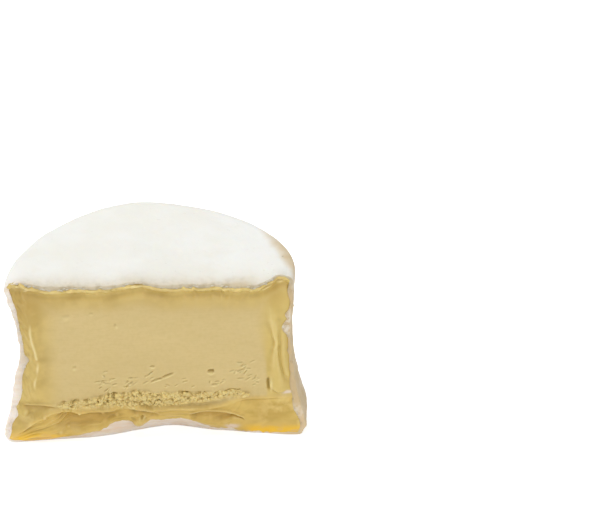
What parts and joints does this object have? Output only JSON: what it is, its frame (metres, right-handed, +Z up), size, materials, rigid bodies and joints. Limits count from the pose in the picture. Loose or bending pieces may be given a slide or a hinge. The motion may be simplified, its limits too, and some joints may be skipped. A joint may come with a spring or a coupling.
{
  "type": "brillat-savarin cheese",
  "caption": "Half of a small soft-ripened triple-cream cheese, standing on its base with the cut face to the front.",
  "frame": {"origin": "middle of the underside, where the cheese rests", "axes": "+Z up, +X to the right along the cut, the cut face looks along -Y and the round back along +Y"},
  "size_m": [0.0788, 0.0522, 0.0471],
  "materials": {
    "rind": "thin velvety white bloom over a soft skin, faintly ivory and pink where it is thin or bruised",
    "paste": "fatty pale straw-yellow paste, satin and smooth in the core, glossy and deeper yellow in the cream line under the rind, porous in the crumbly band"
  },
  "bodies": {
    "root": {"half_cheese": "rind"}
  },
  "joints": []
}
